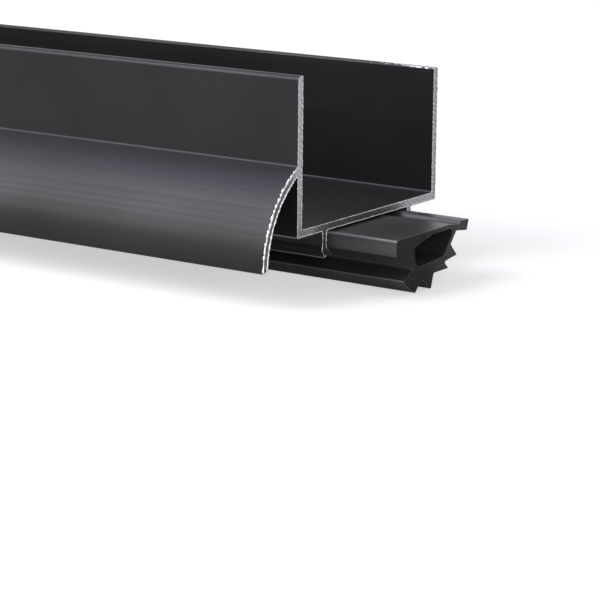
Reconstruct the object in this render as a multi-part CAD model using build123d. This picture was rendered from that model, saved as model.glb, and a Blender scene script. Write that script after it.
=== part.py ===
from build123d import *
import os

# Door shoe: an aluminium U channel with a drip cap, and a vinyl seal that slides in under it.
# Frame in millimetres: X along the shoe, Y from the outside face to the room side, Z up.
# The origin is the middle of the web's top face, where the door's bottom edge rests.

# Length
shoe_length = 914.4
seal_length = 914.4
seal_pulled_out = 14.7

# Channel that holds the door
door_thickness = 44.45
door_clearance = 0.475
leg_wall = 1.55
web_wall = 1.55
outside_leg_height = 28.4
room_leg_height = 24.85
leg_top_round = 0.5
outside_leg_face_round = 0.9
channel_outer_round = 0.35
channel_inner_round = 0.4

# Drip cap: one arc from the outside leg down to a lip, about the web's underside
drip_wall = 1.55
drip_radius = 21.4
drip_root_height = 13.45
drip_reach = 10.9
drip_drop = 4.75
drip_lip_round = 0.6
drip_crease_round = 0.5

# Hooked retainers: depths are below the web's underside
track_width = 28.0
track_offset = -0.45
retainer_wall = 1.5
retainer_depth = 5.2
hook_shoulder_depth = 3.15
hook_reach = 1.8
hook_nose = 0.35
hook_heel = 0.4
hook_heel_reach = 0.2
hook_notch = 0.5

# Upright slots for the fixing screws in the room side leg
slot_count = 3
slot_end_distance = 101.6
slot_width = 4.8
slot_length = 12.7
slot_centre_height = 12.4

# Vinyl seal: the plate that runs in the track, with a groove in front of its back edge
seal_side_play = 1.0
seal_top_play = 0.3
plate_wall = 1.8
plate_front_round = 0.35
front_lip_wall = 1.4
front_lip_drop = 1.3
back_edge_width = 3.3
back_edge_wall = 2.1
back_edge_slant = 0.7
back_root_wall = 1.6
back_ridge_slant = 0.45
back_ridge_round = 0.25
groove_width = 3.7
groove_depth = 0.65
plate_round = 0.15

# Vinyl seal: the bulb, set in from the plate's edges, with depths below the plate's top
bulb_front_setback = 5.0
bulb_back_setback = 4.6
bulb_foot_taper = 0.8
bulb_front_wall = 1.3
bulb_back_wall = 0.6
hollow_front_cover = 2.4
hollow_crown_cover = 0.9
hollow_crown_station = 0.4
hollow_front_floor = 6.4
hollow_back_floor = 5.8
hollow_front_taper = 0.7
hollow_back_taper = 4.0
hollow_corner_round = 0.8
hollow_crown_round = 9.0
hollow_floor_round = 2.2

# Saw teeth from the room side to the front: each valley, then the tip after it.
# A station is a share of the bulb's width from its front face; a drop is below the hollow's floor.
tooth_valley_stations = (0.878, 0.738, 0.512, 0.183)
tooth_valley_drops = (-2.5, 0.5, 2.0, 3.45)
tooth_tip_stations = (1.025, 0.842, 0.457, 0.116)
tooth_tip_drops = (-0.1, 2.0, 4.85, 4.65)
skirt_reach = 2.6
skirt_drop = 1.8
skirt_root_drop = 0.0
skirt_tip_round = 0.3
tooth_tip_round = 0.15
tooth_valley_round = 0.3
skirt_root_round = 0.8

# Places that follow from the sizes
inside_width = door_thickness + 2 * door_clearance
outside_inner_face = -inside_width / 2
outside_face = outside_inner_face - leg_wall
room_inner_face = inside_width / 2
room_face = room_inner_face + leg_wall
web_underside = -web_wall
plate_front = track_offset - track_width / 2 + seal_side_play
plate_back = track_offset + track_width / 2 - seal_side_play
plate_top = web_underside - seal_top_play
plate_underside = plate_top - plate_wall
bulb_front = plate_front + bulb_front_setback
bulb_back = plate_back - bulb_back_setback
bulb_width = bulb_back - bulb_front
hollow_floor = plate_top - hollow_front_floor


def rectangle(low_across, low_height, high_across, high_height):
    """A rectangle of the section, given by two opposite corners."""
    centre = ((low_across + high_across) / 2, (low_height + high_height) / 2)
    return Pos(*centre) * Rectangle(high_across - low_across, high_height - low_height)


def rounded(section, corners, radius):
    """The section with the corners nearest to the given points rounded."""
    vertices = [section.vertices().sort_by_distance((*corner, 0))[0] for corner in corners]
    return fillet(vertices, radius)


def closed_outline(corners):
    """A closed outline through corners that are given as across, height and rounding."""
    points = [(across, height) for across, height, radius in corners]
    radii = [radius for across, height, radius in corners]
    return FilletPolyline(*points, radius=radii, close=True)


def extruded(section, low_end, length):
    """The section stood up across X and drawn out from one end."""
    return Pos(low_end, 0, 0) * extrude(Plane.YZ * section, length)


def drip_cap_section():
    """One curved wall that bows outwards from the leg and hangs nearly upright at its lip."""
    root = (outside_face, web_underside + drip_root_height)
    lip = (outside_face - drip_reach, web_underside - drip_drop)
    outer = RadiusArc(root, lip, -drip_radius)
    return make_face(offset(outer, drip_wall, side=Side.LEFT))


def retainer_section(side):
    """A retainer leg with its hook; side is 1 towards the room and -1 towards the outside."""
    inner = track_offset + side * track_width / 2
    outer = inner + side * retainer_wall
    nose = inner - side * hook_reach
    root = web_underside + web_wall / 2
    shoulder = web_underside - hook_shoulder_depth
    foot = web_underside - retainer_depth
    outline = Polyline(
        (outer, root),
        (inner, root),
        (inner, shoulder),
        (nose, foot + 2 * hook_nose),
        (nose, foot + hook_nose),
        (inner, foot + hook_notch),
        ((inner + outer) / 2, foot),
        (outer + side * hook_heel_reach, shoulder - hook_heel),
        (outer, shoulder + hook_heel),
        close=True,
    )
    return make_face(outline)


def channel_section():
    """Web, both legs, drip cap and retainers as the one drawn section."""
    web = rectangle(outside_face, web_underside, room_face, 0)
    outside_leg = rectangle(outside_face, web_underside, outside_inner_face, outside_leg_height)
    room_leg = rectangle(room_inner_face, web_underside, room_face, room_leg_height)
    section = web + outside_leg + room_leg + drip_cap_section()
    section += retainer_section(1) + retainer_section(-1)
    leg_tops = [
        (outside_inner_face, outside_leg_height),
        (room_inner_face, room_leg_height),
        (room_face, room_leg_height),
    ]
    lip_foot = web_underside - drip_drop
    lip_corners = [
        (outside_face - drip_reach, lip_foot),
        (outside_face - drip_reach + drip_wall, lip_foot),
    ]
    section = rounded(section, leg_tops, leg_top_round)
    section = rounded(section, [(outside_face, outside_leg_height)], outside_leg_face_round)
    section = rounded(section, lip_corners, drip_lip_round)
    section = rounded(section, [(outside_inner_face, 0), (room_inner_face, 0)], channel_inner_round)
    underside_corners = [(outside_face, web_underside), (room_face, web_underside)]
    section = rounded(section, underside_corners, channel_outer_round)
    crease = [(outside_face, web_underside + drip_root_height)]
    return rounded(section, crease, drip_crease_round)


def screw_slots():
    """Upright slots through the room side leg, spread evenly between the end distances."""
    pitch = (shoe_length - 2 * slot_end_distance) / (slot_count - 1)
    outline = Rot(0, 0, 90) * SlotOverall(slot_length, slot_width)
    cutter = extrude(Plane.XZ * outline, leg_wall, both=True)
    places = GridLocations(pitch, 0, slot_count, 1)
    middle = Pos(0, room_inner_face + leg_wall / 2, slot_centre_height)
    return [middle * place * cutter for place in places]


def seal_outline():
    """The seal's outer outline, from the plate's front edge over its top and round the teeth."""
    corners = [
        (plate_front, plate_top, plate_front_round),
        (plate_back - back_edge_width - groove_width, plate_top, plate_round),
        (plate_back - back_edge_width, plate_top - groove_depth, plate_round),
        (plate_back - back_edge_width + back_ridge_slant, plate_top, back_ridge_round),
        (plate_back, plate_top, plate_round),
        (plate_back - back_edge_slant, plate_top - back_edge_wall, plate_round),
        (bulb_back, plate_top - back_root_wall, plate_round),
    ]
    valleys = zip(tooth_valley_stations, tooth_valley_drops)
    tips = zip(tooth_tip_stations, tooth_tip_drops)
    for valley, tip in zip(valleys, tips):
        for (station, drop), radius in ((valley, tooth_valley_round), (tip, tooth_tip_round)):
            corners.append((bulb_front + station * bulb_width, hollow_floor - drop, radius))
    corners += [
        (bulb_front - skirt_reach, hollow_floor - skirt_drop, skirt_tip_round),
        (bulb_front + bulb_foot_taper, hollow_floor - skirt_root_drop, skirt_root_round),
        (bulb_front, plate_underside, tooth_valley_round),
        (plate_front + front_lip_wall, plate_underside, tooth_valley_round),
        (plate_front + front_lip_wall, plate_underside - front_lip_drop, plate_round),
        (plate_front, plate_underside - front_lip_drop, plate_round),
    ]
    return closed_outline(corners)


def hollow_outline():
    """The bulb's hollow: a crowned roof, and a back wall that leans in towards the floor."""
    front = bulb_front + bulb_front_wall
    back = bulb_back - bulb_back_wall
    corners = [
        (front, plate_top - hollow_front_cover, hollow_corner_round),
        (front + hollow_crown_station * bulb_width, plate_top - hollow_crown_cover, hollow_crown_round),
        (back, plate_top - hollow_crown_cover, hollow_corner_round),
        (back - hollow_back_taper, plate_top - hollow_back_floor, hollow_floor_round),
        (front + hollow_front_taper, hollow_floor, hollow_floor_round),
    ]
    return closed_outline(corners)


def build_shoe_channel():
    """The aluminium extrusion, sawn to length, with its screw slots."""
    channel = extruded(channel_section(), -shoe_length / 2, shoe_length)
    for slot in screw_slots():
        channel -= slot
    return channel


def build_vinyl_insert():
    """The vinyl seal in its track, standing out at the +X end as far as it is pulled out."""
    section = make_face(seal_outline()) - make_face(hollow_outline())
    far_end = shoe_length / 2 + seal_pulled_out
    return extruded(section, far_end - seal_length, seal_length)


os.makedirs("parts", exist_ok=True)
export_step(build_shoe_channel(), "parts/shoe_channel.step")
export_step(build_vinyl_insert(), "parts/vinyl_insert.step")
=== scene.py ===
"""Looks of the door shoe: a dark anodised channel with sawn ends, and a black vinyl seal in its track."""

import logging
import math
from dataclasses import dataclass
from enum import Enum
from functools import partial
from typing import Any, Callable, Sequence

import bpy
from mathutils import Matrix, Vector


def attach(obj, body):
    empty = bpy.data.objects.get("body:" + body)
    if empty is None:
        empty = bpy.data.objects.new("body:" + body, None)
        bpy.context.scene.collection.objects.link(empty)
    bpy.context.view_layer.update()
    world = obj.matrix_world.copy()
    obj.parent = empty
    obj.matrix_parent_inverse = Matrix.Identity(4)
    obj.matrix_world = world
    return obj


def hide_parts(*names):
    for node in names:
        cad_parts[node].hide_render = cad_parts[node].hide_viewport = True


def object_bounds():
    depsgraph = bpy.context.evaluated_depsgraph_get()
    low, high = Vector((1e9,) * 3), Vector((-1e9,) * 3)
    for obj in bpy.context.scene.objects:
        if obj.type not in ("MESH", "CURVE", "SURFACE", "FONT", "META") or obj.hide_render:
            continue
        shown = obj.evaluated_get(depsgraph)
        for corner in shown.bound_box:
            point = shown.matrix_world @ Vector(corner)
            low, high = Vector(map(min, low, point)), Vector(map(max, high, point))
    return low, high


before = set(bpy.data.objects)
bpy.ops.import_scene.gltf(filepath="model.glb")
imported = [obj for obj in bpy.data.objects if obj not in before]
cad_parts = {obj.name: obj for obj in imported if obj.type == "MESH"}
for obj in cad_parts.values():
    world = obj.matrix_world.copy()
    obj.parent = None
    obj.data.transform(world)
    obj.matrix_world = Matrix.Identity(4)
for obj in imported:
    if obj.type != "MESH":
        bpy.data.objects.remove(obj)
cad_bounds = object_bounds()

LOG = logging.getLogger("door_shoe")
MM = 0.001

# Lengths in millimetres
SHOE_LENGTH = 914.4
SEAL_LENGTH = 914.4
SEAL_PULLED_OUT = 14.7
FLOOR_GAP = 0.02

# The largest turn from one point of a round to the next, and the smallest that shows as an edge
TURN_STEP = math.radians(11)
SHARP_ANGLE = math.radians(24)

# How near points are welded, and how near a face lies to the plane of a cut, in metres
WELD_DISTANCE = 1e-7
CUT_TOLERANCE = 1e-6

# The ranges that hold nearly all and most of a noise's values
WIDE_NOISE = {"From_Min": 0.3, "From_Max": 0.7}
MIDDLE_NOISE = {"From_Min": 0.35, "From_Max": 0.65}

Pair = tuple[float, float]
Triple = tuple[float, float, float]
# The relief of a pattern: its height in metres and its strength.
Relief = Pair
Material = bpy.types.Material
Object = bpy.types.Object
Socket = bpy.types.NodeSocket
# A source feeds an input: an output socket, or a node for its first output.
Source = bpy.types.Node | Socket
# An adder is add_node with the tree already given.
Adder = Callable[..., bpy.types.Node]
Given = dict[str, Socket]

SOCKET_KINDS = {float: "NodeSocketFloat", int: "NodeSocketInt", Vector: "NodeSocketVector",
                Material: "NodeSocketMaterial"}


class Body(Enum):
    """The bodies that pieces ride on."""

    SHOE = "shoe"
    SEAL = "seal"


class Node(Enum):
    """The solids that pieces stand for, by their names in model.glb."""

    CHANNEL = "shoe_channel"
    SEAL = "vinyl_insert"


class Side(Enum):
    """The two sides of the track, as a sign across the section."""

    OUTSIDE = -1
    ROOM = 1


def linear(colour: str) -> tuple[float, ...]:
    """Turns an sRGB hex colour into linear red, green and blue, with full opacity.

    Args:
        colour: the colour as six hex digits after a hash sign.

    Returns:
        The linear colour.
    """
    parts = [int(colour[i:i + 2], 16) / 255 for i in (1, 3, 5)]
    curve = [v / 12.92 if v <= 0.04045 else ((v + 0.055) / 1.055) ** 2.4 for v in parts]
    return (curve[0], curve[1], curve[2], 1.0)


def add_node(tree: bpy.types.NodeTree, kind: str, settings: dict[str, Any] | str = "",
             **inputs: Any) -> bpy.types.Node:
    """Adds a node with its settings, its values and the links that come into it.

    Args:
        tree: the tree that gets the node.
        kind: the node's type name.
        settings: values of the node's own settings by name, or only its operation.
        **inputs: a value, a source or a list of sources for each input, which is named by its
            identifier with underscores for spaces.

    Returns:
        The new node.
    """
    node = tree.nodes.new(kind)
    if isinstance(settings, str):
        settings = {"operation": settings} if settings else {}
    for name, value in settings.items():
        setattr(node, name, value)
    sockets = {socket.identifier.replace(" ", "_"): socket for socket in node.inputs}
    for name, value in inputs.items():
        if isinstance(value, (bpy.types.Node, Socket, list)):
            for source in value if isinstance(value, list) else [value]:
                output = source.outputs[0] if isinstance(source, bpy.types.Node) else source
                tree.links.new(output, sockets[name])
        else:
            sockets[name].default_value = value
    return node


def emptied(holder: Material | bpy.types.World) -> Adder:
    """Gives a material or a world an empty tree, and returns the adder of its nodes."""
    holder.use_nodes = True
    holder.node_tree.nodes.clear()
    return partial(add_node, holder.node_tree)


def new_object(name: str, data: bpy.types.ID) -> Object:
    """Makes an object with its mesh, lamp or camera, and puts it in the scene."""
    made = bpy.data.objects.new(name, data)
    bpy.context.scene.collection.objects.link(made)
    return made


# Finishes


def started_material(name: str) -> tuple[Material, Adder, Source]:
    """Starts a material with a pattern space in millimetres.

    Args:
        name: the material's name.

    Returns:
        The material, the adder of its nodes, and the place on the piece in millimetres.
    """
    material = bpy.data.materials.new(name)
    add = emptied(material)
    place = add("ShaderNodeTexCoord")
    return material, add, add("ShaderNodeVectorMath", "SCALE", Vector=place.outputs["Object"], Scale=1 / MM)


def shaded(material: Material, **shader: Any) -> Material:
    """Ends a material with one surface shader and its inputs, and returns the material."""
    shade = add_node(material.node_tree, "ShaderNodeBsdfPrincipled", **shader)
    add_node(material.node_tree, "ShaderNodeOutputMaterial", Surface=shade)
    return material


def blended(add: Adder, colour: str, *layers: tuple[Source, str]) -> Socket:
    """Adds nodes that lay colours over a first one, each as far as its share goes.

    Args:
        add: adds a node to the material.
        colour: the lowest colour.
        *layers: the share and the colour of each layer, from the lowest up.

    Returns:
        The colour on top.
    """
    tone: Any = linear(colour)
    for share, over in layers:
        mix = add("ShaderNodeMix", {"data_type": "RGBA"}, Factor_Float=share, A_Color=tone,
                  B_Color=linear(over))
        # The mix of colours is the node's third output.
        tone = mix.outputs[2]
    return tone


def textured(add: Adder, roughness: float, spread: float,
             *relief: tuple[Source, float, float]) -> dict[str, Source | float]:
    """Adds nodes for a gloss and a fine relief that follow the same patterns.

    Args:
        add: adds a node to the material.
        roughness: the roughness at the middle of the first pattern.
        spread: how far the first pattern takes the roughness up and down, if at all.
        *relief: each pattern, with its height in metres and its strength.

    Returns:
        The shader's inputs for both.
    """
    rough: Source | float = roughness
    if spread:
        rough = add("ShaderNodeMapRange", Value=relief[0][0], To_Min=roughness - spread,
                    To_Max=roughness + spread, **WIDE_NOISE)
    normal: dict[str, Source] = {}
    for pattern, height, strength in relief:
        normal = {"Normal": add("ShaderNodeBump", Height=pattern, Distance=height, Strength=strength,
                                **normal)}
    return {"Roughness": rough} | normal


def drawn_lines(add: Adder, place: Source, width: float, run: float) -> Source:
    """Adds the faint lines that a die leaves along a bar, by their width and run in millimetres."""
    stretched = add("ShaderNodeMapping", Vector=place, Scale=(1 / run, 1 / width, 1 / width))
    return add("ShaderNodeTexNoise", Vector=stretched, Scale=1.0, Detail=2.0)


def painted_light_share(add: Adder, place: Source, edges: Sequence[Pair], reach: float = 0.4) -> Source | float:
    """Adds nodes for painted light: 1 on the edges that run along a bar, fading to 0 around them.

    Args:
        add: adds a node to the material.
        place: the place on the piece in millimetres.
        edges: where the edges stand in the section, across and height in millimetres.
        reach: how far the painted light reaches in millimetres; it is full up to a quarter of that.

    Returns:
        The share.
    """
    flat = add("ShaderNodeMapping", Vector=place, Scale=(0, 1, 1))
    share: Source | float = 0.0
    for edge in edges:
        gap = add("ShaderNodeVectorMath", "DISTANCE", Vector=flat, Vector_001=(0, *edge))
        near = add("ShaderNodeMapRange", Value=gap.outputs["Value"], From_Min=reach / 4, From_Max=reach,
                   To_Min=1.0, To_Max=0.0)
        share = add("ShaderNodeMath", "MAXIMUM", Value=near, Value_001=share)
    return share


class Finish:
    """A finish of the real object."""

    def material(self) -> Material:
        """The finish as a material."""
        raise NotImplementedError


@dataclass(frozen=True)
class AnodisedAluminium(Finish):
    """Extruded aluminium with a dark dyed anodised skin.

    The die leaves faint straight lines along the length, and the skin dulls them to a satin sheen.
    """

    colour: str = "#262628"
    pale_colour: str = "#2C2C2E"
    metallic: float = 0.66
    specular_level: float = 0.2
    # Painted highlights: the outside hook's foot and the corner under the outside leg are painted paler, as
    # glints of light along these edges.
    painted_glint_colour: str = "#8C8C8E"
    painted_glint_edges: tuple[Pair, ...] = ((-15.25, -6.65), (-24.2, -1.5))
    roughness: float = 0.36
    roughness_spread: float = 0.04
    die_line: float = 0.35
    die_line_run: float = 160.0
    line_relief: Relief = (4e-6, 0.6)
    grain: float = 0.22
    grain_relief: Relief = (4e-6, 0.5)
    mottle: float = 28.0
    bare_colour: str = "#A2A2A4"
    # The chips thicken from the first of these places to the second, along the shoe and up the leg.
    chip_stretch: Pair = (436.0, 450.0)
    chip_height: Pair = (24.2, 24.75)
    chip_side: float = 20.0
    chip_size: float = 0.9
    chip_most: float = 0.66
    chip_rim: float = 0.05

    def material(self) -> Material:
        """The material, with die lines, fine grain, slow mottling and the worn top of the room side leg."""
        material, add, place = started_material("Dark anodised aluminium")
        lines = drawn_lines(add, place, self.die_line, self.die_line_run)
        grain = add("ShaderNodeTexNoise", Vector=place, Scale=1 / self.grain, Detail=1.0)
        mottle = add("ShaderNodeTexNoise", Vector=place, Scale=1 / self.mottle, Detail=2.0)
        pale = add("ShaderNodeMapRange", Value=mottle, **MIDDLE_NOISE)
        # The painted glints go over the mottled colour, under the chips.
        colour = blended(add, self.colour, (pale, self.pale_colour),
                         (painted_light_share(add, place, self.painted_glint_edges), self.painted_glint_colour),
                         (self.chips(add, place), self.bare_colour))
        return shaded(material, Base_Color=colour, Metallic=self.metallic,
                      Specular_IOR_Level=self.specular_level,
                      **textured(add, self.roughness, self.roughness_spread, (lines, *self.line_relief),
                                 (grain, *self.grain_relief)))

    def chips(self, add: Adder, place: Source) -> Source:
        """Adds nodes for the skin that has chipped off the room side leg's top, next to the sawn end.

        Args:
            add: adds a node to the material.
            place: the place on the piece in millimetres.

        Returns:
            The share of bare metal.
        """
        spot = add("ShaderNodeSeparateXYZ", Vector=place)
        held = add("ShaderNodeMath", "GREATER_THAN", Value=spot.outputs["Y"], Value_001=self.chip_side)
        for way, reach, most in (("X", self.chip_stretch, self.chip_most), ("Z", self.chip_height, 1.0)):
            near = add("ShaderNodeMapRange", Value=spot.outputs[way], From_Min=reach[0], From_Max=reach[1],
                       To_Max=most)
            held = add("ShaderNodeMath", "MULTIPLY", Value=held, Value_001=near)
        patches = add("ShaderNodeTexNoise", Vector=place, Scale=1 / self.chip_size, Detail=3.0)
        bare = add("ShaderNodeMath", "SUBTRACT", Value=held, Value_001=patches)
        return add("ShaderNodeMapRange", Value=bare, From_Min=0.0, From_Max=self.chip_rim)


@dataclass(frozen=True)
class SawnAluminium(Finish):
    """Bare aluminium as a circular saw leaves it: grey, matt, and hatched by the teeth's shallow arcs."""

    roughness: float = 0.42
    tooth_pitch: float = 0.8
    wander: float = 2.6
    wander_scale: float = 1.2
    tear: float = 0.6
    # Over this range of the pattern's height the tone is scaled from the first factor to the second.
    tear_range: Pair = (0.1, 0.5)
    tear_tone: Pair = (0.8, 1.2)
    relief: Relief = (2e-5, 0.5)
    blade_centre: Pair = (80.0, 111.0)
    # Painted reflection and shade: how bright the metal is painted at places across the section, from the
    # drip cap to the room side, after the lit and the shaded floor that it mirrors.
    reflected_tones: tuple[tuple[float, str], ...] = (
        (-26.5, "#626365"), (-24.8, "#9E9FA1"), (-19.5, "#A8A9AB"), (-17.0, "#737477"), (-13.0, "#585A5C"),
        (-1.5, "#4A4B4E"), (10.5, "#5E5F62"), (13.5, "#8D8E90"), (24.0, "#919395"))

    def painted_reflection(self, add: Adder, place: Source) -> Source:
        """Adds nodes for the painted reflection and shade on the metal across the section.

        Args:
            add: adds a node to the material.
            place: the place on the piece in millimetres.

        Returns:
            The painted tone, blended from each listed place to the next.
        """
        first, last = self.reflected_tones[0][0], self.reflected_tones[-1][0]
        spot = add("ShaderNodeSeparateXYZ", Vector=place)
        across = add("ShaderNodeMapRange", Value=spot.outputs["Y"], From_Min=first, From_Max=last)
        ramp = add("ShaderNodeValToRGB", Fac=across)
        stops = ramp.color_ramp.elements
        stops[0].color, stops[1].color = linear(self.reflected_tones[0][1]), linear(self.reflected_tones[-1][1])
        for tone_place, colour in self.reflected_tones[1:-1]:
            stops.new((tone_place - first) / (last - first)).color = linear(colour)
        return ramp

    def material(self) -> Material:
        """The material, with arcs struck from the blade's centre and uneven torn patches."""
        material, add, place = started_material("Sawn bare aluminium")
        across, height = self.blade_centre
        about = add("ShaderNodeMapping", Vector=place, Location=(0, -across, -height))
        # One full wave of the texture is two pi over twenty.
        arcs = add("ShaderNodeTexWave", {"wave_type": "RINGS", "rings_direction": "X"}, Vector=about,
                   Scale=math.pi / 10 / self.tooth_pitch, Distortion=self.wander, Detail=3.0,
                   Detail_Scale=self.wander_scale)
        torn = add("ShaderNodeTexNoise", Vector=place, Scale=1 / self.tear, Detail=3.0)
        both = add("ShaderNodeMath", "MULTIPLY", Value=arcs.outputs["Fac"], Value_001=torn)
        share = add("ShaderNodeMapRange", Value=both, From_Min=self.tear_range[0],
                    From_Max=self.tear_range[1], To_Min=self.tear_tone[0], To_Max=self.tear_tone[1])
        # The torn patches scale the painted reflection and shade across the section.
        tone = add("ShaderNodeVectorMath", "SCALE", Vector=self.painted_reflection(add, place), Scale=share)
        return shaded(material, Base_Color=tone, Metallic=1.0,
                      **textured(add, self.roughness, 0.0, (both, *self.relief)))


@dataclass(frozen=True)
class BareAluminium(Finish):
    """Bare aluminium that a tool has rubbed: bright and fairly smooth, with fine drag marks."""

    name: str
    colour: str
    pale_colour: str
    roughness: float
    roughness_spread: float = 0.08
    drag_mark: float = 0.15
    relief: Relief = (1e-5, 0.4)

    def material(self) -> Material:
        """The material, with fine uneven drag marks."""
        material, add, place = started_material(self.name)
        marks = add("ShaderNodeTexNoise", Vector=place, Scale=1 / self.drag_mark, Detail=2.0)
        colour = blended(add, self.colour, (marks, self.pale_colour))
        return shaded(material, Base_Color=colour, Metallic=1.0,
                      **textured(add, self.roughness, self.roughness_spread, (marks, *self.relief)))


@dataclass(frozen=True)
class ExtrudedVinyl(Finish):
    """Flexible black PVC from the die: black with an oily sheen and long faint flow lines."""

    colour: str = "#262627"
    pale_colour: str = "#313132"
    refraction: float = 1.53
    specular_level: float = 0.3
    # Painted highlights: the plate's front edge and the skirt's tip are painted pale, as glints of light
    # along them.
    painted_glint_colour: str = "#747476"
    painted_glint_edges: tuple[Pair, ...] = ((-13.35, -1.95), (-11.0, -9.9))
    # Painted light: the plate's front face is painted paler all over, as the light that falls on it.
    painted_light_colour: str = "#464648"
    painted_light_face: Pair = (-14.4, -3.4)
    painted_light_reach: float = 2.6
    roughness: float = 0.36
    roughness_spread: float = 0.05
    flow_line: float = 0.6
    flow_run: float = 60.0
    line_relief: Relief = (1e-5, 0.5)
    dust: float = 0.35
    dust_range: Pair = (0.55, 0.75)
    dust_relief: Relief = (1e-5, 0.4)

    def material(self) -> Material:
        """The material, with flow lines, a little dust, painted light on the plate's front face and painted
        glints on two edges.
        """
        material, add, place = started_material("Extruded black vinyl")
        flow = drawn_lines(add, place, self.flow_line, self.flow_run)
        dust = add("ShaderNodeTexNoise", Vector=place, Scale=1 / self.dust, Detail=2.0)
        specks = add("ShaderNodeMapRange", Value=dust, From_Min=self.dust_range[0],
                     From_Max=self.dust_range[1])
        # Painted light on the plate's front face, then painted glints on two edges.
        lit_face_share = painted_light_share(add, place, [self.painted_light_face], self.painted_light_reach)
        colour = blended(add, self.colour, (specks, self.pale_colour), (lit_face_share, self.painted_light_colour),
                         (painted_light_share(add, place, self.painted_glint_edges), self.painted_glint_colour))
        return shaded(material, Base_Color=colour, IOR=self.refraction,
                      Specular_IOR_Level=self.specular_level,
                      **textured(add, self.roughness, self.roughness_spread, (flow, *self.line_relief),
                                 (dust, *self.dust_relief)))


@dataclass(frozen=True)
class CutVinyl(Finish):
    """The same vinyl where a blade cut it: rougher, a shade paler, and speckled by the torn grain."""

    colour: str = "#171718"
    torn_colour: str = "#5A5A5C"
    refraction: float = 1.53
    specular_level: float = 0.1
    roughness: float = 0.7
    speck: float = 0.3
    relief: Relief = (6e-5, 0.8)
    # How strong the noise has to be to show as a torn speck, at a place on each side of the section: the
    # specks thicken from the front side to the room side.
    sparse_side: float = -4.0
    sparse_least: float = 0.6
    dense_side: float = 5.0
    dense_least: float = 0.36
    full_speck: float = 0.7

    def material(self) -> Material:
        """The material, with torn specks that thicken towards the room side."""
        material, add, place = started_material("Cut black vinyl")
        spot = add("ShaderNodeSeparateXYZ", Vector=place)
        least = add("ShaderNodeMapRange", Value=spot.outputs["Y"], From_Min=self.sparse_side,
                    From_Max=self.dense_side, To_Min=self.sparse_least, To_Max=self.dense_least)
        torn = add("ShaderNodeTexNoise", Vector=place, Scale=1 / self.speck, Detail=3.0)
        specks = add("ShaderNodeMapRange", Value=torn, From_Min=least, From_Max=self.full_speck)
        return shaded(material, Base_Color=blended(add, self.colour, (specks, self.torn_colour)),
                      IOR=self.refraction, Specular_IOR_Level=self.specular_level,
                      **textured(add, self.roughness, 0.0, (torn, *self.relief)))


# Sections and the bars that are drawn from them


@dataclass(frozen=True)
class Corner:
    """A corner of a section in millimetres: its place across, its height and its rounding."""

    across: float
    height: float
    radius: float = 0.0


def rounded_loop(corners: Sequence[Corner], turn_step: float = TURN_STEP) -> list[Vector]:
    """Rounds the corners of a closed section.

    Args:
        corners: the corners in order.
        turn_step: the largest turn from one point of a round to the next.

    Returns:
        The loop's points in metres, with what lies across along X and the height along Y.
    """
    places = [Vector((corner.across, corner.height)) for corner in corners]
    loop: list[Vector] = []
    for index, corner in enumerate(corners):
        here = places[index]
        if corner.radius == 0:
            loop.append(here)
            continue
        back = (places[index - 1] - here).normalized()
        ahead = (places[(index + 1) % len(places)] - here).normalized()
        opening = back.angle(ahead)
        centre = here + (back + ahead).normalized() * corner.radius / math.sin(opening / 2)
        start = here + back * corner.radius / math.tan(opening / 2) - centre
        end = here + ahead * corner.radius / math.tan(opening / 2) - centre
        turn = math.copysign(math.pi - opening, start.x * end.y - start.y * end.x)
        steps = max(2, math.ceil(abs(turn) / turn_step))
        loop += [centre + Matrix.Rotation(turn * step / steps, 2) @ start for step in range(steps + 1)]
    return [point * MM for point in loop]


def section_object(name: str, loops: Sequence[Sequence[Vector]]) -> Object:
    """Makes the object whose mesh is only the edges of a section's loops.

    Args:
        name: the name of the piece that is drawn from it.
        loops: the closed loops in metres.

    Returns:
        The object, which a tree of geometry nodes then draws out.
    """
    points: list[Triple] = []
    edges: list[tuple[int, int]] = []
    for loop in loops:
        first = len(points)
        points += [(point.x, point.y, 0.0) for point in loop]
        edges += [(first + i, first + (i + 1) % len(loop)) for i in range(len(loop))]
    mesh = bpy.data.meshes.new(f"{name} section")
    mesh.from_pydata(points, edges, [])
    return new_object(mesh.name, mesh)


def apply_tree(drawn: Object, name: str, values: dict[str, Any],
               shape: Callable[[Adder, Given], Source]) -> None:
    """Puts a new tree of geometry nodes with named inputs on an object.

    Args:
        drawn: the object that gets it.
        name: the tree's name.
        values: the value of each input after the geometry, whose kind follows from its type.
        shape: adds the nodes between the tree's named inputs and its output, and gives the last one.
    """
    tree = bpy.data.node_groups.new(name, "GeometryNodeTree")
    for way in ("INPUT", "OUTPUT"):
        tree.interface.new_socket("Geometry", in_out=way, socket_type="NodeSocketGeometry")
    for label, value in values.items():
        tree.interface.new_socket(label, in_out="INPUT", socket_type=SOCKET_KINDS[type(value)])
    given = {socket.name: socket for socket in tree.nodes.new("NodeGroupInput").outputs}
    last = shape(partial(add_node, tree), given)
    tree.links.new(last.outputs[0], tree.nodes.new("NodeGroupOutput").inputs["Geometry"])
    modifier = drawn.modifiers.new(name, "NODES")
    modifier.node_group = tree
    for item in tree.interface.items_tree:
        if item.in_out == "INPUT" and item.name in values:
            modifier[item.identifier] = values[item.name]


def add_prism(add: Adder, face: Source, height: Source) -> Source:
    """Adds nodes that raise a face along Z to a closed solid.

    Args:
        add: adds a node to the tree.
        face: the flat face.
        height: how far it is raised.

    Returns:
        The solid.
    """
    raised = add("GeometryNodeExtrudeMesh", Mesh=face, Offset=(0, 0, 1), Offset_Scale=height,
                 Individual=False)
    foot = add("GeometryNodeFlipFaces", Mesh=face)
    both = add("GeometryNodeJoinGeometry", Geometry=[foot, raised])
    return add("GeometryNodeMergeByDistance", Geometry=both, Distance=WELD_DISTANCE)


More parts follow.
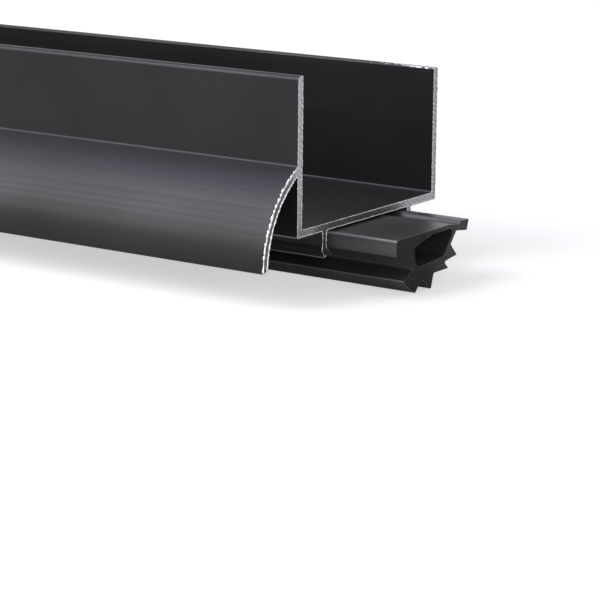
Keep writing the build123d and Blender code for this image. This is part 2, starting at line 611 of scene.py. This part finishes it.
def finished_piece(drawn: Object, name: str) -> Object:
    """Turns an object with its modifiers into a plain piece in the row frame.

    Args:
        drawn: the object to take the shape from, which is then removed.
        name: the piece's name.

    Returns:
        The piece, at the origin with its place in its mesh.
    """
    graph = bpy.context.evaluated_depsgraph_get()
    mesh = bpy.data.meshes.new_from_object(drawn.evaluated_get(graph), depsgraph=graph)
    bpy.data.objects.remove(drawn)
    # The section was drawn across X and Y, with the length along Z.
    mesh.transform(Matrix(((0, 0, 1, 0), (1, 0, 0, 0), (0, 1, 0, 0), (0, 0, 0, 1))))
    mesh.name = name
    return new_object(name, mesh)


@dataclass(frozen=True)
class Bar:
    """A bar of one drawn section that is cut off square at both ends; sizes in millimetres."""

    start: float
    length: float
    name: str
    node: Node
    body: Body
    drawn_finish: Finish
    cut_finish: Finish

    def section(self) -> list[list[Vector]]:
        """The section's closed loops in metres."""
        raise NotImplementedError

    def inputs(self) -> dict[str, Any]:
        """The values of the tree's inputs by name."""
        return {
            "Start": self.start * MM,
            "End": (self.start + self.length) * MM,
            "Sharp angle": SHARP_ANGLE,
            "Drawn finish": self.drawn_finish.material(),
            "Cut finish": self.cut_finish.material(),
        }

    def machined(self, add: Adder, given: Given, bar: Source) -> Source:
        """Adds the nodes for what is cut out of the bar after it is drawn; a plain bar has none."""
        return bar

    def shape(self, add: Adder, given: Given) -> Source:
        """Adds the nodes that draw the section out to the bar and dress it.

        They mark the rims of its cuts by the edges' bevel weight.

        Args:
            add: adds a node to the tree.
            given: the tree's inputs by name.

        Returns:
            The bar.
        """
        outline = add("GeometryNodeMeshToCurve", Mesh=given["Geometry"])
        filled = add("GeometryNodeFillCurve", {"mode": "NGONS"}, Curve=outline)
        low = add("ShaderNodeCombineXYZ", Z=given["Start"])
        face = add("GeometryNodeTransform", Geometry=filled, Translation=low)
        length = add("ShaderNodeMath", "SUBTRACT", Value=given["End"], Value_001=given["Start"])
        dressed = add("GeometryNodeSetMaterial", Geometry=add_prism(add, face, length),
                      Material=given["Drawn finish"])
        machined = self.machined(add, given, dressed)

        angle = add("GeometryNodeInputMeshEdgeAngle")
        sharp = add("FunctionNodeCompare", "GREATER_THAN", A=angle.outputs["Unsigned Angle"],
                    B=given["Sharp angle"])
        smooth = add("GeometryNodeSetShadeSmooth", Geometry=machined, Shade_Smooth=True)
        creased = add("GeometryNodeSetShadeSmooth", {"domain": "EDGE"}, Geometry=smooth, Selection=sharp,
                      Shade_Smooth=False)
        along = add("ShaderNodeSeparateXYZ", Vector=add("GeometryNodeInputPosition"))
        at_start, at_end = [add("FunctionNodeCompare", "EQUAL", A=along.outputs["Z"], B=given[end],
                                Epsilon=CUT_TOLERANCE) for end in ("Start", "End")]
        at_cut = add("FunctionNodeBooleanMath", "OR", Boolean=at_start, Boolean_001=at_end)
        rim = add("FunctionNodeBooleanMath", "AND", Boolean=at_cut, Boolean_001=sharp)
        marked = add("GeometryNodeStoreNamedAttribute", {"data_type": "FLOAT", "domain": "EDGE"},
                     Geometry=creased, Selection=rim, Name="bevel_weight_edge", Value=1.0)
        return add("GeometryNodeSetMaterial", Geometry=marked, Selection=at_cut, Material=given["Cut finish"])

    def finish_rims(self, drawn: Object) -> None:
        """Adds the modifiers that finish the rims of the cuts; a plain bar has none."""

    def declare(self, piece: Object) -> Object:
        """Hangs the piece on the body that it rides on, logs its count of faces, and returns it."""
        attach(piece, self.body.value)
        LOG.info("%s: %d faces", piece.name, len(piece.data.polygons))
        return piece

    def build(self) -> None:
        drawn = section_object(self.name, self.section())
        apply_tree(drawn, f"{self.name} bar", self.inputs(), self.shape)
        self.finish_rims(drawn)
        piece = self.declare(finished_piece(drawn, self.name))
        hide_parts(self.node.value)


@dataclass(frozen=True)
class ShoeChannel(Bar):
    """The aluminium extrusion: a U for the door, a drip cap outside it and two retainers below."""

    name: str = "channel"
    node: Node = Node.CHANNEL
    body: Body = Body.SHOE
    drawn_finish: Finish = AnodisedAluminium()
    cut_finish: Finish = SawnAluminium()
    slot_finish: Finish = BareAluminium("Punched bare aluminium", "#A9AAAC", "#D0D0D1", 0.4)
    rubbed_finish: Finish = BareAluminium("Rubbed bare aluminium", "#939496", "#B2B3B4", 0.38)
    torn_finish: Finish = BareAluminium("Torn bare aluminium", "#A9AAAB", "#EBEBEC", 0.38)
    inside_width: float = 45.4
    leg_wall: float = 1.55
    web_wall: float = 1.55
    outside_leg_height: float = 28.4
    room_leg_height: float = 24.85
    leg_top_round: float = 0.5
    outside_leg_face_round: float = 0.9
    outer_round: float = 0.35
    inner_round: float = 0.4
    drip_wall: float = 1.55
    drip_radius: float = 21.4
    drip_root_height: float = 13.45
    drip_reach: float = 10.9
    drip_drop: float = 4.75
    drip_lip_round: float = 0.6
    drip_crease_round: float = 0.5
    drip_steps: int = 28
    track_width: float = 28.0
    track_offset: float = -0.45
    retainer_wall: float = 1.5
    retainer_depth: float = 5.2
    hook_shoulder_depth: float = 3.15
    hook_reach: float = 1.8
    hook_nose: float = 0.35
    hook_heel: float = 0.4
    hook_heel_reach: float = 0.2
    hook_notch: float = 0.5
    hook_round: float = 0.16
    slot_count: int = 3
    slot_end_distance: float = 101.6
    slot_width: float = 4.8
    slot_length: float = 12.7
    slot_centre_height: float = 12.4
    slot_round_points: int = 10
    # A little less than all of the half width, so that the rounds of one end don't meet.
    slot_round_share: float = 0.9999
    cutter_depth: float = 4.65
    burr_step: float = 0.2
    burr_radius: float = 0.12
    burr_sides: int = 6
    burr_least_inset: float = 0.1
    burr_most_inset: float = 0.24
    burr_wander_size: float = 1.3
    burr_swell_size: float = 0.5
    burr_least_swell: float = 0.45
    burr_most_swell: float = 1.4
    # On the drip cap the burr is thicker by this factor from this many walls outside the leg.
    burr_drip_growth: float = 1.7
    burr_growth_walls: float = 1.5

    def drip_cap(self) -> list[Corner]:
        """The drip cap's corners, from the crease down its outer arc and back up its inner one."""
        face = -self.inside_width / 2 - self.leg_wall
        steps = self.drip_steps
        root = Vector((face, self.drip_root_height - self.web_wall))
        lip = Vector((face - self.drip_reach, -self.web_wall - self.drip_drop))
        chord = lip - root
        half = math.asin(chord.length / 2 / self.drip_radius)
        inwards = Vector((-chord.y, chord.x)).normalized()
        centre = (root + lip) / 2 + inwards * self.drip_radius * math.cos(half)
        first = math.atan2(root.y - centre.y, root.x - centre.x)
        last = first + 2 * half
        inner_radius = self.drip_radius - self.drip_wall
        inner_first = math.acos((face - centre.x) / inner_radius)
        corners = []
        for radius, start, end in ((self.drip_radius, first, last), (inner_radius, last, inner_first)):
            for step in range(steps + 1):
                angle = start + (end - start) * step / steps
                corners.append(Corner(centre.x + radius * math.cos(angle),
                                      centre.y + radius * math.sin(angle)))
        rounds = {0: self.drip_crease_round, steps: self.drip_lip_round, steps + 1: self.drip_lip_round,
                  -1: self.outer_round}
        for index, radius in rounds.items():
            corners[index] = Corner(corners[index].across, corners[index].height, radius)
        return corners

    def retainer(self, side: Side) -> list[Corner]:
        """One retainer's corners, round its hook between its outer and inner sides.

        Args:
            side: the side of the track that it stands on.

        Returns:
            The corners in the order that a counter-clockwise section meets them.
        """
        sign = side.value
        inner = self.track_offset + sign * self.track_width / 2
        outer = inner + sign * self.retainer_wall
        nose = inner - sign * self.hook_reach
        root = -self.web_wall
        shoulder = root - self.hook_shoulder_depth
        foot = root - self.retainer_depth
        places = [
            (outer, root),
            (outer, shoulder + self.hook_heel),
            (outer + sign * self.hook_heel_reach, shoulder - self.hook_heel),
            ((inner + outer) / 2, foot),
            (inner, foot + self.hook_notch),
            (nose, foot + self.hook_nose),
            (nose, foot + 2 * self.hook_nose),
            (inner, shoulder),
            (inner, root),
        ]
        corners = [Corner(across, height, self.hook_round) for across, height in places]
        return corners if side is Side.OUTSIDE else corners[::-1]

    def section(self) -> list[list[Vector]]:
        """The one closed loop, counter-clockwise from the top of the room side leg."""
        inner = self.inside_width / 2
        outer = inner + self.leg_wall
        corners = [
            Corner(outer, self.room_leg_height, self.leg_top_round),
            Corner(inner, self.room_leg_height, self.leg_top_round),
            Corner(inner, 0.0, self.inner_round),
            Corner(-inner, 0.0, self.inner_round),
            Corner(-inner, self.outside_leg_height, self.leg_top_round),
            Corner(-outer, self.outside_leg_height, self.outside_leg_face_round),
            *self.drip_cap(),
            Corner(-outer, -self.web_wall, self.outer_round),
            *self.retainer(Side.OUTSIDE),
            *self.retainer(Side.ROOM),
            Corner(outer, -self.web_wall, self.outer_round),
        ]
        return [rounded_loop(corners)]

    def inputs(self) -> dict[str, Any]:
        """The bar's inputs with those of the slots."""
        end = self.start + self.length
        pitch = (self.length - 2 * self.slot_end_distance) / (self.slot_count - 1)
        middle = self.inside_width / 2 + self.leg_wall / 2
        return super().inputs() | {
            "Slot count": self.slot_count,
            "First slot": Vector((middle, self.slot_centre_height, end - self.slot_end_distance)) * MM,
            "Slot pitch": -pitch * MM,
            "Slot width": self.slot_width * MM,
            "Slot length": self.slot_length * MM,
            "Slot end round": self.slot_width / 2 * MM * self.slot_round_share,
            "Cutter depth": self.cutter_depth * MM,
            "Slot finish": self.slot_finish.material(),
        }

    def machined(self, add: Adder, given: Given, bar: Source) -> Source:
        """Adds the nodes that punch the row of slots through the room side leg.

        Args:
            add: adds a node to the tree.
            given: the tree's inputs by name.
            bar: the drawn bar.

        Returns:
            The bar with its slots.
        """
        oblong = add("GeometryNodeCurvePrimitiveQuadrilateral", Width=given["Slot length"],
                     Height=given["Slot width"])
        rounded = add("GeometryNodeFilletCurve", {"mode": "POLY"}, Curve=oblong, Count=self.slot_round_points,
                      Radius=given["Slot end round"])
        face = add("GeometryNodeFillCurve", {"mode": "NGONS"}, Curve=rounded)
        cutter = add_prism(add, face, given["Cutter depth"])
        half = add("ShaderNodeMath", "MULTIPLY", Value=given["Cutter depth"], Value_001=-0.5)
        middle = add("ShaderNodeCombineXYZ", X=half)
        # The cutter is drawn up along Z with its long side along X: a turn about X and then one about Z
        # stand it across a leg, with its long side upright.
        turned = add("GeometryNodeTransform", Geometry=cutter, Translation=middle,
                     Rotation=(math.pi / 2, 0, math.pi / 2))
        step = add("ShaderNodeCombineXYZ", Z=given["Slot pitch"])
        places = add("GeometryNodeMeshLine", Count=given["Slot count"], Start_Location=given["First slot"],
                     Offset=step)
        row = add("GeometryNodeInstanceOnPoints", Points=places, Instance=turned)
        cutters = add("GeometryNodeRealizeInstances", Geometry=row)
        dressed = add("GeometryNodeSetMaterial", Geometry=cutters, Material=given["Slot finish"])
        return add("GeometryNodeMeshBoolean", {"operation": "DIFFERENCE", "solver": "EXACT"}, Mesh_1=bar,
                   Mesh_2=dressed)

    def burr_inputs(self) -> dict[str, Any]:
        """The values of the burr's inputs by name."""
        leg_face = self.inside_width / 2 + self.leg_wall
        return {
            "Start": self.start * MM,
            "End": (self.start + self.length) * MM,
            "Step": self.burr_step * MM,
            "Radius": self.burr_radius * MM,
            "Least inset": self.burr_least_inset * MM,
            "Most inset": self.burr_most_inset * MM,
            "Wander scale": 1 / (self.burr_wander_size * MM),
            "Swell scale": 1 / (self.burr_swell_size * MM),
            "Drip side": -(leg_face + self.burr_growth_walls * self.drip_wall) * MM,
            "Leg side": -leg_face * MM,
            "Rubbed metal": self.rubbed_finish.material(),
            "Torn metal": self.torn_finish.material(),
        }

    def burr_shape(self, add: Adder, given: Given) -> Source:
        """Adds the nodes that lay an uneven bead just inside the rim of both cuts.

        Args:
            add: adds a node to the tree.
            given: the tree's inputs by name.

        Returns:
            The bead at both ends, torn on the drip cap and rubbed elsewhere.
        """
        outline = add("GeometryNodeMeshToCurve", Mesh=given["Geometry"])
        stepped = add("GeometryNodeResampleCurve", {"mode": "LENGTH"}, Curve=outline, Length=given["Step"])
        tangent = add("GeometryNodeInputTangent")
        inwards = add("ShaderNodeVectorMath", "CROSS_PRODUCT", Vector=(0, 0, 1), Vector_001=tangent)
        wander = add("ShaderNodeTexNoise", Scale=given["Wander scale"], Detail=1.0)
        depth = add("ShaderNodeMapRange", Value=wander, To_Min=given["Least inset"],
                    To_Max=given["Most inset"], **WIDE_NOISE)
        inset = add("ShaderNodeVectorMath", "SCALE", Vector=inwards, Scale=depth)
        moved = add("GeometryNodeSetPosition", Geometry=stepped, Offset=inset)
        lumps = add("ShaderNodeTexNoise", Scale=given["Swell scale"], Detail=2.0)
        swell = add("ShaderNodeMapRange", Value=lumps, To_Min=self.burr_least_swell,
                    To_Max=self.burr_most_swell, **MIDDLE_NOISE)
        profile = add("GeometryNodeCurvePrimitiveCircle", Resolution=self.burr_sides, Radius=given["Radius"])
        across = add("ShaderNodeSeparateXYZ", Vector=add("GeometryNodeInputPosition")).outputs["X"]
        coarse = add("ShaderNodeMapRange", Value=across, From_Min=given["Drip side"],
                     From_Max=given["Leg side"], To_Min=self.burr_drip_growth, To_Max=1.0)
        grown = add("ShaderNodeMath", "MULTIPLY", Value=swell, Value_001=coarse)
        bead = add("GeometryNodeCurveToMesh", Curve=moved, Profile_Curve=profile, Scale=grown)
        ends = [add("GeometryNodeTransform", Geometry=bead,
                    Translation=add("ShaderNodeCombineXYZ", Z=given[end])) for end in ("Start", "End")]
        both = add("GeometryNodeJoinGeometry", Geometry=ends)
        soft = add("GeometryNodeSetShadeSmooth", Geometry=both, Shade_Smooth=True)
        rims = add("GeometryNodeSetMaterial", Geometry=soft, Material=given["Rubbed metal"])
        on_drip = add("FunctionNodeCompare", "LESS_THAN", A=across, B=given["Leg side"])
        return add("GeometryNodeSetMaterial", Geometry=rims, Selection=on_drip, Material=given["Torn metal"])

    def build_burr(self) -> None:
        """Builds the uneven burr that the saw raised along the rim of both cuts."""
        drawn = section_object("saw_burr", self.section())
        apply_tree(drawn, "saw burr", self.burr_inputs(), self.burr_shape)
        self.declare(finished_piece(drawn, "saw_burr"))


@dataclass(frozen=True)
class VinylSeal(Bar):
    """The vinyl extrusion: a plate that slides in the track and a hollow bulb with saw teeth below it."""

    name: str = "seal"
    node: Node = Node.SEAL
    body: Body = Body.SEAL
    drawn_finish: Finish = ExtrudedVinyl()
    cut_finish: Finish = CutVinyl()
    plate_front: float = -13.45
    plate_back: float = 12.55
    plate_top: float = -1.85
    plate_wall: float = 1.8
    plate_front_round: float = 0.35
    front_lip_wall: float = 1.4
    front_lip_drop: float = 1.3
    back_edge_width: float = 3.3
    back_edge_wall: float = 2.1
    back_edge_slant: float = 0.7
    back_root_wall: float = 1.6
    back_ridge_slant: float = 0.45
    back_ridge_round: float = 0.25
    groove_width: float = 3.7
    groove_depth: float = 0.65
    plate_round: float = 0.15
    bulb_front: float = -8.45
    bulb_back: float = 7.95
    bulb_foot_taper: float = 0.8
    bulb_front_wall: float = 1.3
    bulb_back_wall: float = 0.6
    hollow_front_cover: float = 2.4
    hollow_crown_cover: float = 0.9
    hollow_crown_station: float = 0.4
    hollow_front_floor: float = 6.4
    hollow_back_floor: float = 5.8
    hollow_front_taper: float = 0.7
    hollow_back_taper: float = 4.0
    hollow_corner_round: float = 0.8
    hollow_crown_round: float = 9.0
    hollow_floor_round: float = 2.2
    hollow_turn_step: float = math.radians(6)
    # Each tooth's valley and tip: a share of the bulb's width, and a drop below the hollow's front floor.
    teeth: tuple[tuple[Pair, Pair], ...] = (
        ((0.878, -2.5), (1.025, -0.1)), ((0.738, 0.5), (0.842, 2.0)),
        ((0.512, 2.0), (0.457, 4.85)), ((0.183, 3.45), (0.116, 4.65)))
    skirt_reach: float = 2.6
    skirt_drop: float = 1.8
    skirt_tip_round: float = 0.3
    tooth_tip_round: float = 0.15
    tooth_valley_round: float = 0.3
    skirt_root_round: float = 0.8
    rim_round: float = 0.12
    rim_segments: int = 2

    def outline(self) -> list[Corner]:
        """The outer loop's corners, from the plate's front edge over its top and round the teeth."""
        edge = self.plate_round
        front, back, top = self.plate_front, self.plate_back, self.plate_top
        valley_round = self.tooth_valley_round
        floor = top - self.hollow_front_floor
        width = self.bulb_back - self.bulb_front
        underside = top - self.plate_wall
        ridge = back - self.back_edge_width
        front_inner = front + self.front_lip_wall
        corners = [
            Corner(front, top, self.plate_front_round),
            Corner(ridge - self.groove_width, top, edge),
            Corner(ridge, top - self.groove_depth, edge),
            Corner(ridge + self.back_ridge_slant, top, self.back_ridge_round),
            Corner(back, top, edge),
            Corner(back - self.back_edge_slant, top - self.back_edge_wall, edge),
            Corner(self.bulb_back, top - self.back_root_wall, edge),
        ]
        for valley, tip in self.teeth:
            for (station, drop), radius in ((valley, valley_round), (tip, self.tooth_tip_round)):
                corners.append(Corner(self.bulb_front + station * width, floor - drop, radius))
        return corners + [
            Corner(self.bulb_front - self.skirt_reach, floor - self.skirt_drop, self.skirt_tip_round),
            Corner(self.bulb_front + self.bulb_foot_taper, floor, self.skirt_root_round),
            Corner(self.bulb_front, underside, valley_round),
            Corner(front_inner, underside, valley_round),
            Corner(front_inner, underside - self.front_lip_drop, edge),
            Corner(front, underside - self.front_lip_drop, edge),
        ]

    def hollow(self) -> list[Corner]:
        """The hollow's corners: a crowned roof, and a back wall that leans in towards the floor."""
        front = self.bulb_front + self.bulb_front_wall
        back = self.bulb_back - self.bulb_back_wall
        crown = front + self.hollow_crown_station * (self.bulb_back - self.bulb_front)
        top = self.plate_top
        roof = top - self.hollow_crown_cover
        corner, bend = self.hollow_corner_round, self.hollow_floor_round
        return [
            Corner(front, top - self.hollow_front_cover, corner),
            Corner(crown, roof, self.hollow_crown_round),
            Corner(back, roof, corner),
            Corner(back - self.hollow_back_taper, top - self.hollow_back_floor, bend),
            Corner(front + self.hollow_front_taper, top - self.hollow_front_floor, bend),
        ]

    def section(self) -> list[list[Vector]]:
        """The outline's loop and the hollow's loop."""
        return [rounded_loop(self.outline()), rounded_loop(self.hollow(), self.hollow_turn_step)]

    def finish_rims(self, drawn: Object) -> None:
        """Rounds the rims of the cuts, where the blade presses the vinyl over."""
        bevel = drawn.modifiers.new("Soft rim", "BEVEL")
        bevel.limit_method = "WEIGHT"
        bevel.width = self.rim_round * MM
        bevel.segments = self.rim_segments
        bevel.use_clamp_overlap = False


# Floor, light and camera


@dataclass(frozen=True)
class Softbox:
    """A square soft lamp: the direction that it stands in, its distance and side, and its power."""

    name: str
    direction: Triple
    distance: float
    side: float
    radiance: float
    colour: str = "#FFFFFF"

    def build(self, aim: Vector) -> None:
        """Adds the lamp, facing the point that it is aimed at."""
        lamp = bpy.data.lights.new(self.name, "AREA")
        lamp.shape = "SQUARE"
        lamp.size = self.side
        lamp.energy = self.radiance * math.pi * self.side ** 2
        lamp.color = linear(self.colour)[:3]
        towards = Vector(self.direction).normalized()
        new_object(self.name, lamp).matrix_world = (Matrix.Translation(aim + towards * self.distance)
                                                    @ towards.to_track_quat("Z", "Y").to_matrix().to_4x4())


@dataclass(frozen=True)
class Studio:
    """The pale floor, the lamps and the camera."""

    aim: Triple = (0.44, -0.01, 0.01)
    softboxes: tuple[Softbox, ...] = (
        Softbox("key softbox", (-0.547, -0.642, 0.536), 1.5, 1.0, 6.6),
        Softbox("overhead softbox", (-0.45, -0.25, 0.86), 1.6, 0.8, 3.8, "#E6DEFF"),
        Softbox("fill softbox", (0.74, -0.67, 0.26), 3.2, 1.6, 5.8),
        Softbox("back softbox", (0.35, 0.85, 0.42), 3.0, 1.6, 1.6))
    sky_light: float = 0.34
    floor_side: float = 12.0
    floor_colour: str = "#BCBCBC"
    # The floor glows more beyond the reach of the lamps, and fades in reflections next to the shoe.
    floor_glow: float = 0.56
    far_glow: float = 0.82
    lit_reach: Pair = (0.6, 2.2)
    shadow_reach: float = 0.04
    shadow_samples: int = 8
    camera_place: Triple = (0.69687915, -0.37519536, 0.08853596)
    camera_right: Triple = (0.825437, 0.564427, 0.008701)
    camera_down: Triple = (0.138014, -0.186842, -0.972647)
    camera_forward: Triple = (-0.547362, 0.80406, -0.232125)
    nearest_seen: float = 0.01
    lens: float = 142.8855
    sensor: float = 36.0

    def background_share(self, add: Adder, openness: Socket | float = 1.0) -> Source:
        """Adds nodes that are 1 for the rays that show the background, and 0 for those that light.

        Args:
            add: adds a node to the tree.
            openness: how much of the background a mirrored ray shows at this place.

        Returns:
            The share.
        """
        path = add("ShaderNodeLightPath")
        mirrored = add("ShaderNodeMath", "MAXIMUM", Value=path.outputs["Is Glossy Ray"],
                       Value_001=path.outputs["Is Transmission Ray"])
        dimmed = add("ShaderNodeMath", "MULTIPLY", Value=mirrored, Value_001=openness)
        return add("ShaderNodeMath", "MAXIMUM", Value=path.outputs["Is Camera Ray"], Value_001=dimmed)

    def floor_material(self) -> Material:
        """Painted pale floor board that glows for the camera, so that only a soft shadow marks it.

        In the shoe's own reflections the glow fades beneath the shoe, as its shadow would.
        """
        material = bpy.data.materials.new("Painted floor board")
        add = emptied(material)
        paint = add("ShaderNodeBsdfDiffuse", Color=linear(self.floor_colour))
        covered = add("ShaderNodeAmbientOcclusion", {"samples": self.shadow_samples},
                      Distance=self.shadow_reach)
        shown = self.background_share(add, covered.outputs["AO"])
        place = add("ShaderNodeTexCoord")
        away = add("ShaderNodeVectorMath", "LENGTH", Vector=place.outputs["Object"])
        # Far from the lamps the glow makes up for the light that no longer reaches the board.
        glow_there = add("ShaderNodeMapRange", Value=away.outputs["Value"], From_Min=self.lit_reach[0],
                         From_Max=self.lit_reach[1], To_Min=self.floor_glow, To_Max=self.far_glow)
        strength = add("ShaderNodeMath", "MULTIPLY", Value=shown, Value_001=glow_there)
        glow = add("ShaderNodeEmission", Strength=strength)
        both = add("ShaderNodeAddShader", Shader=paint, Shader_001=glow)
        add("ShaderNodeOutputMaterial", Surface=both)
        return material

    def floor(self, height: float) -> None:
        """Lays the floor at a height in metres."""
        half = self.floor_side / 2
        mesh = bpy.data.meshes.new("floor")
        corners = ((-half, -half), (half, -half), (half, half), (-half, half))
        mesh.from_pydata([(x, y, height) for x, y in corners], [], [range(4)])
        mesh.materials.append(self.floor_material())
        new_object("floor", mesh)

    def world(self) -> None:
        """Sets the plain sky: white where it is seen, softer where it lights."""
        world = bpy.data.worlds.new("Plain sky")
        add = emptied(world)
        strength = add("ShaderNodeMapRange", Value=self.background_share(add), To_Min=self.sky_light,
                       To_Max=1.0)
        sky = add("ShaderNodeBackground", Strength=strength, Color=(1, 1, 1, 1))
        add("ShaderNodeOutputWorld", Surface=sky)
        bpy.context.scene.world = world

    def camera(self) -> None:
        """Stands the camera at the photograph's viewing angle."""
        lens = bpy.data.cameras.new("camera")
        lens.lens = self.lens
        lens.sensor_width = self.sensor
        lens.clip_start = self.nearest_seen
        axes = (Vector(self.camera_right), -Vector(self.camera_down), -Vector(self.camera_forward))
        camera = new_object("camera", lens)
        camera.matrix_world = Matrix.Translation(self.camera_place) @ Matrix(axes).transposed().to_4x4()
        bpy.context.scene.camera = camera

    def build(self, floor_height: float) -> None:
        """Builds the floor, at its height in metres, the lamps, the sky and the camera."""
        self.floor(floor_height)
        for softbox in self.softboxes:
            softbox.build(Vector(self.aim))
        self.world()
        self.camera()
        bpy.context.scene.view_settings.view_transform = "Standard"


def main() -> None:
    """Builds the channel, the seal and the studio."""
    logging.basicConfig(level=logging.INFO, format="%(name)s %(message)s")
    channel = ShoeChannel(-SHOE_LENGTH / 2, SHOE_LENGTH)
    channel.build()
    channel.build_burr()
    VinylSeal(SHOE_LENGTH / 2 + SEAL_PULLED_OUT - SEAL_LENGTH, SEAL_LENGTH).build()
    Studio().build(cad_bounds[0][2] - FLOOR_GAP * MM)


if __name__ == "__main__":
    main()
